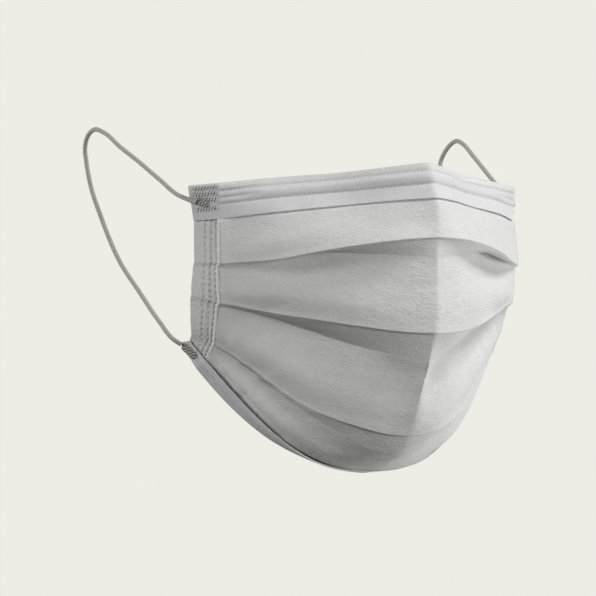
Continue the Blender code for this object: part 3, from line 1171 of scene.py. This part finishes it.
@dataclass(frozen=True)
class SideBand:
    """The pressed end of the pleats, with three columns of round welding points.

    Places run from 0 at the band's start to 1 at the side edge.
    """

    cloth: PleatedCloth
    side: Side
    start: float = 0.868
    columns: int = 32
    raised: float = 0.04 * MM
    start_sink: float = 0.05 * MM
    point_columns: tuple[float, ...] = (0.17, 0.38, 0.62)
    column_shift: float = 0.37
    point_stretch: float = 0.6
    point_pitch: float = 2.1 * MM
    point_radius: float = 0.40 * MM
    point_height: float = 0.32 * MM
    dent_depth: float = 0.26 * MM
    dent_offset: float = 0.55 * MM
    streak_pitch: float = 1.5 * MM
    streak_places: tuple[float, float] = (0.08, 0.80)
    streak_from: tuple[float, float] = (0.52, 0.62)
    pucker: float = 0.08 * MM
    crease_end: float = 0.14
    sink_end: float = 0.03
    # painted shade: a share of the darker pressed colour over the whole band, partly the pressed
    # cloth's own tone and partly the shade of the band turning away from the lamps
    pressed: float = 0.30

    def relief(self, stations: Grid, share: Grid, over: Grid, down: Grid) -> tuple[Grid, Grid]:
        """Welding points, upright streaks and the swollen crease next to the panel.

        A point is a bell-shaped bump of puckered cloth with a bell-shaped dent beside it, and the
        dent is also given the darker pressed colour as painted shade beside the bump. The streaks
        are sine waves across the lower part of the band. The swollen crease falls off in a smooth
        step, and at its start the band goes in below the panel's surface. Over the band the cloth
        takes part of the darker pressed colour, which is partly the pressed cloth's own tone and
        partly painted shade.

        Args:
            stations: Station of each point.
            share: Share of the way down the cloth.
            over: Distance across the cloth from the middle of the piece.
            down: Distance down the cloth.

        Returns:
            Height of the relief, and the share of the darker pressed colour, which is partly real
            pressed cloth and partly painted shade.
        """
        place = (np.abs(stations) - self.start) / (1.0 - self.start)
        width = np.abs(over[:, -1:] - over[:, :1])
        bumps = np.zeros_like(place)
        dents = np.zeros_like(place)
        for number, column in enumerate(self.point_columns):
            phase = down / self.point_pitch + self.column_shift * number
            along = (phase - np.round(phase)) * self.point_pitch
            beside = (place - column) * width
            long_way = self.point_stretch * along**2
            bumps += np.exp(-(beside**2 + long_way) / self.point_radius**2)
            # the dent beside each point is sunk and is also painted darker, as painted shade beside
            # the raised point
            beside = beside + self.dent_offset
            dents += np.exp(-(beside**2 + long_way) / self.point_radius**2)
        first, last = self.streak_places
        between = np.sin(np.pi * np.clip((place - first) / (last - first), 0.0, 1.0))
        streaks = self.pucker * between * rise(share, *self.streak_from)
        streaks = streaks * np.sin(2 * np.pi * place * width / self.streak_pitch)
        falls = 1.0 - rise(place, 0.0, self.crease_end)
        begin = 1.0 - rise(place, 0.0, self.sink_end)
        height = band_crease(share) * falls - self.start_sink * begin
        height = height + self.raised * (1.0 - falls)
        height = height + streaks + self.point_height * bumps - self.dent_depth * dents
        # the pressed share paints shade: part of it over the band, and all of it in the dents
        # beside the points
        return height, np.clip(self.pressed * (1.0 - falls) + dents, 0.0, 1.0)

    def build(self, finish: bpy.types.Material, lining: bpy.types.Material) -> bpy.types.Object:
        """Build and dress the band.

        Args:
            finish: Material outside.
            lining: Material inside.

        Returns:
            The piece.
        """
        across = np.linspace(self.start, 1.0, self.columns)
        if self.side is Side.RIGHT:
            across = -across[::-1]
        piece = self.cloth.shell(f"side_band_{self.side.word}", across, self.relief)
        dress(piece, "pleated_cloth", ("pleated_panel",), finish, lining)
        return piece


@dataclass(frozen=True)
class Hem:
    """A strip of cloth folded over an edge of the panel: an outer leg, a turn and an inner leg.

    outside and inside are how far the legs lie from the middle of the panel's cloth.
    """

    shape: WornShape
    edge: Line
    border: Line
    columns: int
    leg_rows: int
    thickness: float = 0.32 * MM
    outside: float = 0.80 * MM
    inside: float = -1.20 * MM
    turn_rows: int = 7
    inner_rows: int = 6
    inner_share: float = 0.90
    inner_relief: float = 0.5

    def grids(self, across: Grid) -> tuple[Grid, Grid, Grid]:
        """Outer surface, its direction outwards and the share of the hem's width at each point.

        The outer leg runs from the border to near the edge, the turn is a half circle round the
        edge of the panel, and the inner leg runs back behind the panel.

        Args:
            across: Stations.

        Returns:
            Points, directions out of the cloth, and shares of the hem's width.
        """
        edge = self.shape.line(self.edge, across)
        border = self.shape.line(self.border, across)
        width = np.linalg.norm(border - edge, axis=1, keepdims=True)
        inward = (border - edge) / width
        normal = unit(np.cross(inward, np.gradient((edge + border) / 2, across, axis=0)))
        if self.edge is Line.LOW_EDGE:
            normal = -normal
        radius = (self.outside - self.inside) / 2
        middle = (self.outside + self.inside) / 2
        angle = np.linspace(0.0, np.pi, self.turn_rows)[1:-1]
        share = np.linspace(1.0, 0.0, self.leg_rows)[:, None, None]
        start = radius / width
        place = [share * (1 - start) + start]
        lift = [np.full((self.leg_rows, 1, 1), self.outside)]
        place.append(start * (1 - np.sin(angle))[:, None, None])
        lift.append((middle + radius * np.cos(angle))[:, None, None])
        back = np.linspace(0.0, 1.0, self.inner_rows)[:, None, None]
        place.append(start + (self.inner_share - start) * back)
        lift.append(np.full((self.inner_rows, 1, 1), self.inside))
        places, lifts = (
            np.concatenate([np.broadcast_to(row, (len(row), *width.shape)) for row in rows])
            for rows in (place, lift)
        )
        outer = edge + inward * (places * width) + normal * lifts
        facing = outwards(outer)
        if self.edge is Line.TOP_EDGE:
            facing = -facing
        return outer, facing, places[..., 0]

    def shell(self, name: str, relief: Relief) -> bpy.types.Object:
        """Closed piece of the hem, with relief on the outer leg.

        Args:
            name: Name of the piece.
            relief: Function of station, share of the hem's width, distance across and distance
                down that gives the height of the relief and how far the cloth is pressed.

        Returns:
            The piece.
        """
        across = np.linspace(-1.0, 1.0, self.columns)
        outer, facing, share = self.grids(across)
        on_leg = (np.arange(len(outer)) < self.leg_rows)[:, None]
        stations = np.broadcast_to(across, outer.shape[:2])
        height, pressed = relief(stations, share, from_middle(outer), lengths(outer, 0))
        height, pressed = height * on_leg, pressed * on_leg
        inner = outer - facing * (self.thickness - self.inner_relief * height)[..., None]
        outer = outer + facing * height[..., None]
        if self.edge is Line.TOP_EDGE:
            outer, inner, pressed = outer[::-1], inner[::-1], pressed[::-1]
        return closed_sheet(name, outer, inner, pressed)


@dataclass(frozen=True)
class TopHem:
    """Upper hem: raised over the nose wire, with a row of stitch-like welds on each side of it.

    Places in it are shares of the hem's width, from 0 at the mask's edge to 1 at its border. Pairs
    of starts and ends are the stations between which a pattern comes or goes. pressed is how far
    a weld line, the corner and a hatched stroke press the cloth together.
    """

    hem: Hem
    wire_middle: float = 0.385
    wire_half: float = 0.19
    wire_raise: float = 0.90 * MM
    wire_end: float = 0.76
    wire_fade: float = 0.09
    wire_bluntness: float = 0.6
    weld_lines: tuple[float, float] = (0.225, 0.585)
    end_line: float = 0.41
    end_line_share: float = 0.8
    lines_end: tuple[float, float] = (0.855, 0.885)
    line_width: float = 0.036
    line_depth: float = 0.42 * MM
    stitch_pitch: float = 1.30 * MM
    stitch_share: float = 0.22
    hatch_rows: tuple[float, ...] = (0.11, 0.285, 0.467, 0.70)
    hatch_half: float = 0.075
    hatch_edge: float = 0.7
    hatch_start: tuple[float, float] = (0.868, 0.878)
    hatch_end: tuple[float, float] = (0.975, 0.985)
    hatch_pitch: float = 1.12 * MM
    hatch_slant: float = 0.6
    hem_width: float = 13.0 * MM
    hatch_depth: float = 0.40 * MM
    wave: float = 0.10 * MM
    wave_size: tuple[float, float] = (0.030, 0.012)
    seed: int = 5
    pressed: tuple[float, float, float] = (0.8, 0.35, 0.75)

    def relief(self, stations: Grid, share: Grid, over: Grid, down: Grid) -> tuple[Grid, Grid]:
        """Ridge over the wire, weld lines, hatched corners and a soft wave along the hem.

        The ridge is a power of a raised cosine across the hem. A weld line is a bell-shaped
        groove whose depth goes up and down with the stitches. The hatch is a slanting wave within
        its rows.

        Args:
            stations: Station of each point.
            share: Share of the hem's width from its edge.
            over: Distance across the cloth from the middle of the piece.
            down: Distance down the cloth.

        Returns:
            Height of the relief, and how far the cloth is pressed together.
        """
        away = np.abs(stations)
        wire = 1.0 - rise(away, self.wire_end - self.wire_fade, self.wire_end + self.wire_fade / 2)
        across = np.clip((share - self.wire_middle) / self.wire_half, -1.0, 1.0)
        bump = (0.5 + 0.5 * np.cos(np.pi * across)) ** self.wire_bluntness
        height = self.wire_raise * wire * bump
        stitches = np.sin(2 * np.pi * over / self.stitch_pitch)
        stitches = 1.0 - self.stitch_share + self.stitch_share * stitches
        plain = 1.0 - rise(away, *self.lines_end)
        lines = sum(groove(share, place, self.line_width) for place in self.weld_lines)
        end_line = groove(share, self.end_line, self.line_width) * self.end_line_share
        lines = lines + end_line * (1.0 - wire)
        welded = lines * stitches * plain
        slant = (over + self.hatch_slant * self.hem_width * share) / self.hatch_pitch
        ticks = np.sin(2 * np.pi * slant)
        inner = self.hatch_half * self.hatch_edge
        rows = sum(
            1.0 - rise(np.abs(share - row), inner, self.hatch_half) for row in self.hatch_rows
        )
        corner = rise(away, *self.hatch_start)
        hatched = ticks * rows * corner * (1.0 - rise(away, *self.hatch_end))
        height = height - self.line_depth * welded - self.hatch_depth * hatched
        height = height + self.wave * ripples(over, down, self.wave_size, self.seed)
        by_line, by_corner, by_tick = self.pressed
        pressed = by_line * welded + by_corner * corner + by_tick * hatched
        return height, np.clip(pressed, 0.0, 1.0)

    def build(self, finish: bpy.types.Material, lining: bpy.types.Material) -> bpy.types.Object:
        """Build and dress the hem.

        Args:
            finish: Material outside.
            lining: Material inside.

        Returns:
            The piece.
        """
        piece = self.hem.shell("upper_hem", self.relief)
        dress(piece, "hem_cloth", ("top_hem",), finish, lining)
        return piece


@dataclass(frozen=True)
class BottomHem:
    """Lower hem, with fine weld lines along it at shares of its width."""

    hem: Hem
    weld_lines: tuple[float, ...] = (0.58, 0.40, 0.20)
    line_width: float = 0.045
    line_depth: float = 0.16 * MM
    wave: float = 0.06 * MM
    wave_size: tuple[float, float] = (0.022, 0.010)
    seed: int = 11
    pressed: float = 0.5

    def relief(self, stations: Grid, share: Grid, over: Grid, down: Grid) -> tuple[Grid, Grid]:
        """Bell-shaped grooves along the hem and a soft wave.

        Args:
            stations: Station of each point.
            share: Share of the hem's width from its edge.
            over: Distance across the cloth from the middle of the piece.
            down: Distance down the cloth.

        Returns:
            Height of the relief, and how far the cloth is pressed together.
        """
        lines = sum(groove(share, place, self.line_width) for place in self.weld_lines)
        height = self.wave * ripples(over, down, self.wave_size, self.seed)
        return height - self.line_depth * lines, self.pressed * lines

    def build(self, finish: bpy.types.Material, lining: bpy.types.Material) -> bpy.types.Object:
        """Build and dress the hem.

        Args:
            finish: Material outside.
            lining: Material inside.

        Returns:
            The piece.
        """
        piece = self.hem.shell("lower_hem", self.relief)
        dress(piece, "hem_cloth", ("bottom_hem",), finish, lining)
        return piece


# Route of an ear loop from its upper to its lower weld: out, back and up from the origin
LOOP_ROUTE: tuple[tuple[float, float, float], ...] = (
    (0.0694, 0.0500, -0.0062),
    (0.0710, 0.0623, 0.0001),
    (0.0727, 0.0725, 0.0061),
    (0.0747, 0.0823, 0.0117),
    (0.0759, 0.0906, 0.0166),
    (0.0766, 0.0958, 0.0179),
    (0.0764, 0.1010, 0.0156),
    (0.0758, 0.1038, 0.0115),
    (0.0752, 0.1040, 0.0071),
    (0.0744, 0.1020, -0.0023),
    (0.0735, 0.0970, -0.0125),
    (0.0725, 0.0857, -0.0286),
    (0.0715, 0.0744, -0.0391),
    (0.0700, 0.0638, -0.0493),
    (0.0681, 0.0573, -0.0556),
)


@dataclass(frozen=True)
class WeldPlace:
    """Where the flattened end of a loop lies on a hem: station and share at its two ends.

    step is the small difference of stations over which the direction along the hem is taken.
    """

    word: str
    edge: Line
    border: Line
    outer: tuple[float, float]
    inner: tuple[float, float]
    step: float = 0.01

    def ends(self, shape: WornShape, lift: float) -> tuple[Grid, Grid, Grid]:
        """Ends of the weld, lifted off the hem's own surface.

        Args:
            shape: Shape of the mask.
            lift: How far out the ends lie.

        Returns:
            Outer end, inner end, and the direction out of the hem between them.
        """
        found = []
        level = np.array([-self.step, 0.0, self.step])
        middle = (np.array(self.outer) + self.inner) / 2
        for station, share in (self.outer, self.inner, middle):
            edge = shape.line(self.edge, level + station)
            border = shape.line(self.border, level + station)
            down = border - edge if self.edge is Line.TOP_EDGE else edge - border
            along = np.gradient((edge + border) / 2, level, axis=0)
            normal = unit(np.cross(down, along))[1]
            found.append((edge[1] + (border[1] - edge[1]) * share + normal * lift, normal))
        return found[0][0], found[1][0], found[2][1]


UPPER_WELD = WeldPlace("upper", Line.TOP_EDGE, Line.TOP_HEM, (0.968, 0.47), (0.912, 0.52))
LOWER_WELD = WeldPlace("lower", Line.LOW_EDGE, Line.LOW_HEM, (0.990, 0.20), (0.912, 0.55))


@dataclass(frozen=True)
class EarLoop:
    """Round elastic loop and its two flattened welded ends.

    droop is how far the loop hangs lower at the ear, and tuck how far it is drawn in towards its
    lower end. start and lift place its ends ahead of the welds and off them, and flat_length is
    the length over which it becomes wider and flatter there.
    """

    shape: WornShape
    side: Side
    droop: float
    tuck: float
    diameter: float = 1.6 * MM
    weld_lift: float = 0.90 * MM
    weld_half_width: float = 1.45 * MM
    weld_half_height: float = 0.26 * MM
    start: float = 0.4 * MM
    lift: float = 0.4 * MM
    ring_step: float = 0.28 * MM
    sides: int = 24
    rib_pitch: float = 1.5 * MM
    rib: float = 0.055
    rib_turns: int = 3
    flat_length: float = 4.0 * MM
    flat_wider: float = 0.25
    flat_lower: float = 0.35
    droop_power: float = 1.5
    tuck_power: float = 3.0
    curve_points: int = 800
    weld_rings: int = 41
    weld_sides: int = 28
    weld_end_power: int = 8
    weld_end: float = 0.02
    check_pitch: float = 0.9 * MM
    check_height: float = 0.10

    def route(self) -> Grid:
        """Points of the loop's centreline, evenly spaced, from its upper to its lower weld.

        A smooth curve goes through the ends and the points of the route, which are lowered by
        the droop times a power of how far back they are, and drawn in by the tuck times a power
        of their share of the way.

        Returns:
            One point for each ring of the cord.
        """
        tips = []
        for place in (UPPER_WELD, LOWER_WELD):
            outer, inner, normal = place.ends(self.shape, self.weld_lift)
            tips.append(outer + unit(outer - inner) * self.start + normal * self.lift)
        knots = np.array([tips[0], *LOOP_ROUTE, tips[1]])
        back = knots[:, 1] - np.linspace(knots[0, 1], knots[-1, 1], len(knots))
        knots[:, 2] -= self.droop * (np.maximum(back, 0.0) / back.max()) ** self.droop_power
        way = np.linspace(0.0, 1.0, len(knots))
        knots[1:-1, 0] -= self.tuck * way[1:-1] ** self.tuck_power
        spans = lengths(knots[:, None, :], 0)[:, 0]
        fine = np.linspace(0.0, spans[-1], self.curve_points)
        curve = np.stack([smooth_read(spans, knots[:, axis], fine) for axis in range(3)], axis=1)
        run = lengths(curve[:, None, :], 0)[:, 0]
        even = np.linspace(0.0, run[-1], int(run[-1] / self.ring_step))
        points = np.stack([np.interp(even, run, curve[:, axis]) for axis in range(3)], axis=1)
        return points * (self.side.value, 1.0, 1.0)

    def build_cord(self, finish: bpy.types.Material, nodes: tuple[str, ...]) -> bpy.types.Object:
        """Its ribs are the product of two sine waves that wind round it in opposite directions, and
        it becomes flatter and wider towards its welds.

        Args:
            finish: Material of the elastic.
            nodes: CAD nodes that it stands for.

        Returns:
            The piece.
        """
        path = self.route()
        run = lengths(path[:, None, :], 0)[:, 0]
        angle = np.linspace(0.0, 2 * np.pi, self.sides, endpoint=False)
        wound = 2 * np.pi * run[:, None] / self.rib_pitch
        turns = self.rib_turns * angle
        relief = self.rib * np.sin(wound + turns) * np.sin(wound - turns)
        radius = np.full(len(path), self.diameter / 2)
        near = np.minimum(run, run[-1] - run)
        flat = 1.0 - rise(near, 0.0, self.flat_length)
        out = np.array([self.side.value, 0.0, 0.0])
        piece = carried_profile(
            f"loop_{self.side.word}", path, np.cross(unit(np.gradient(path, axis=0)), out),
            radius * (1 + self.flat_wider * flat), radius * (1 - self.flat_lower * flat), relief
        )
        dress(piece, "elastic", nodes, finish)
        return piece

    def build_weld(
        self, place: WeldPlace, finish: bpy.types.Material, node: str
    ) -> bpy.types.Object:
        """Build one flattened end: a flat oval carried along the weld, with a fine pressed check.

        Args:
            place: Where it lies.
            finish: Material of the welded elastic.
            node: CAD node that it stands for.

        Returns:
            The piece.
        """
        outer, inner, normal = place.ends(self.shape, self.weld_lift)
        mirror = np.array([self.side.value, 1.0, 1.0])
        outer, inner, normal = outer * mirror, inner * mirror, normal * mirror
        t = np.linspace(0.0, 1.0, self.weld_rings)
        path = outer + (inner - outer) * t[:, None]
        rounded = np.sqrt(np.clip(1.0 - (2 * t - 1) ** self.weld_end_power, 0.0, 1.0))
        rounded = rounded * (1.0 - self.weld_end) + self.weld_end
        run = np.linalg.norm(inner - outer) * t
        angle = np.linspace(0.0, 2 * np.pi, self.weld_sides, endpoint=False)
        beside = np.cos(angle) * self.weld_half_width
        turns = 2 * np.pi / self.check_pitch
        checks = np.sin(turns * (run[:, None] + beside)) * np.sin(turns * (run[:, None] - beside))
        wide = np.cross(normal, inner - outer)
        piece = carried_profile(
            f"weld_{place.word}_{self.side.word}", path, np.broadcast_to(wide, path.shape),
            self.weld_half_width * rounded, self.weld_half_height * rounded,
            self.check_height * checks * rounded[:, None]
        )
        dress(piece, "welded_elastic", (node,), finish)
        return piece


@dataclass(frozen=True)
class AreaLight:
    """A soft square lamp, placed by its angles from the camera's side of the mask.

    turn is how far it is to the right as the camera sees it, and height how far up, in degrees.
    """

    name: str
    turn: float
    height: float
    power: float
    distance: float = 1.2
    size: float = 0.4


@dataclass(frozen=True)
class Studio:
    """Camera, lamps, plain backdrop colour and pale floor."""

    azimuth: float = -33.0
    target: tuple[float, float, float] = (-0.01967, 0.05272, -0.0412)
    distance: float = 2.5
    frame_width: float = 0.2086
    sensor: float = 36.0
    clip: tuple[float, float] = (0.1, 20.0)
    backdrop: str = "#EDECE5"
    ambient: float = 0.01
    floor_z: float = -1.8
    floor_radius: float = 0.5
    floor_corners: int = 96
    floor_roughness: float = 0.9
    lamps: tuple[AreaLight, ...] = (
        AreaLight("key_right_high", 80.0, 50.0, 10.3),
        AreaLight("front_right", 40.0, 3.0, 7.8),
        AreaLight("side_right", 100.0, 3.0, 2.7),
        AreaLight("side_left", -100.0, -9.0, 7.5),
        AreaLight("fill_left", -60.0, 25.0, 5.4),
        AreaLight("rim_low_right", 150.0, -35.0, 8.3),
    )

    def towards(self, turn: float, height: float) -> Vector:
        """Direction out of the mask.

        Across it is the sine of the turn times the cosine of the height, back from it is less the
        cosine of both, and up it is the sine of the height.

        Args:
            turn: Degrees to the right of the camera's own direction.
            height: Degrees up.

        Returns:
            Direction of length one.
        """
        angle, tilt = np.radians(self.azimuth + turn), np.radians(height)
        level = np.cos(tilt)
        aim = (np.sin(angle) * level, -np.cos(angle) * level, np.sin(tilt))
        return Vector([float(value) for value in aim])

    def aim(self, piece: bpy.types.Object, towards: Vector, distance: float) -> None:
        """Place a lamp or the camera in a direction from the target, looking at it.

        Args:
            piece: The lamp or the camera.
            towards: Direction from the target.
            distance: Distance from the target.
        """
        piece.location = Vector(self.target) + towards * distance
        piece.rotation_euler = (-towards).to_track_quat("-Z", "Y").to_euler()

    def camera(self) -> bpy.types.Object:
        """Place the camera level with the mask, far away, with a long lens.

        The focal length is the distance times the sensor's width over the frame's width.

        Returns:
            The camera.
        """
        data = bpy.data.cameras.new("camera")
        data.sensor_width = self.sensor
        data.lens = self.distance * self.sensor / self.frame_width
        data.clip_start, data.clip_end = self.clip
        seen = link_piece("camera", data)
        self.aim(seen, self.towards(0.0, 0.0), self.distance)
        bpy.context.scene.camera = seen
        return seen

    def light(self) -> None:
        """Add the lamps and the world, which shows its plain colour and lights more dimly."""
        for lamp in self.lamps:
            data = bpy.data.lights.new(lamp.name, "AREA")
            data.energy, data.size = lamp.power, lamp.size
            towards = self.towards(lamp.turn, lamp.height)
            self.aim(link_piece(lamp.name, data), towards, lamp.distance)
        world = bpy.data.worlds.new("studio")
        world.use_nodes = True
        bpy.context.scene.world = world
        tree = world.node_tree
        tree.nodes.clear()
        path = add_node(tree, "ShaderNodeLightPath", {}, {})
        glows = ((self.backdrop, 1.0), ("#FFFFFF", self.ambient))
        shown, dim = (
            add_node(tree, "ShaderNodeBackground", {"Color": linear(code), "Strength": power}, {})
            for code, power in glows
        )
        mixed = add_node(
            tree,
            "ShaderNodeMixShader",
            {},
            {0: path.outputs["Is Camera Ray"], 1: dim.outputs[0], 2: shown.outputs[0]},
        )
        add_node(tree, "ShaderNodeOutputWorld", {}, {"Surface": mixed.outputs[0]})

    def floor(self) -> bpy.types.Object:
        """Make the pale painted floor, a disc well below the mask.

        Returns:
            The floor.
        """
        angle = np.linspace(0.0, 2 * np.pi, self.floor_corners, endpoint=False)
        rim = np.stack([np.cos(angle), np.sin(angle)], axis=1) * self.floor_radius
        rim = rim + self.target[:2]
        points = np.column_stack([rim, np.full(len(rim), self.floor_z)])
        mesh = bpy.data.meshes.new("floor")
        mesh.from_pydata(points.tolist(), [], [list(range(len(points)))])
        material, tree, shader = new_material("painted_floor")
        settings = {"Base Color": linear(self.backdrop), "Roughness": self.floor_roughness}
        fill(tree, shader, settings, {})
        mesh.materials.append(material)
        piece = link_piece("floor", mesh)
        return piece


def main() -> None:
    """Build the studio and the mask, piece by piece, and report each one."""
    logging.basicConfig(level=logging.INFO, format="%(name)s: %(message)s")
    studio = Studio()
    studio.camera()
    studio.light()
    studio.floor()
    bpy.context.scene.view_settings.view_transform = "Standard"

    shape = WornShape()
    outer = ClothFinish("spunbond_outer_layer", "#D2D2D1", "#B6B6B5").material()
    lining = ClothFinish("spunbond_inner_layer", "#DEDEDC", "#CFCFCD", point_depth=0.02).material()
    hemmed = ClothFinish(
        "spunbond_folded_hem", "#D0D0D0", "#A9A9A9", point_depth=0.015, fibre_depth=0.03
    ).material()
    elastic = ElasticFinish("knitted_grey_elastic", "#B6B5AF", "#999893").material()
    welded = ElasticFinish(
        "welded_grey_elastic", "#B9B8B4", "#626260", roughness=0.6, hatch_pitch=1.1
    ).material()

    loops = {}
    for side, droop, tuck in ((Side.RIGHT, 0.0, 0.0), (Side.LEFT, 2.8 * MM, 2.4 * MM)):
        loop = EarLoop(shape, side, droop, tuck)
        loops[side] = loop.build_cord(elastic, (f"ear_loop_{side.word}",))
        for place in (UPPER_WELD, LOWER_WELD):
            loop.build_weld(place, welded, f"loop_weld_{place.word}_{side.word}")

    cloth = PleatedCloth(shape)
    pleated = PleatedPanel(cloth)
    panel = pleated.build(outer, lining)
    bands = [SideBand(cloth, side).build(outer, lining) for side in Side]
    top = Hem(shape, Line.TOP_EDGE, Line.TOP_HEM, columns=470, leg_rows=40)
    low = Hem(shape, Line.LOW_EDGE, Line.LOW_HEM, columns=300, leg_rows=24)
    hems = [hem.build(hemmed, lining) for hem in (TopHem(top), BottomHem(low))]
    flat = pleated.flat_size()
    LOG.info("flat cut %.1f by %.1f mm", flat[0] / MM, flat[1] / MM)

    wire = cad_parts["nose_wire"]
    wire.data.materials.clear()
    wire.data.materials.append(WireFinish().material())


if __name__ == "__main__":
    main()
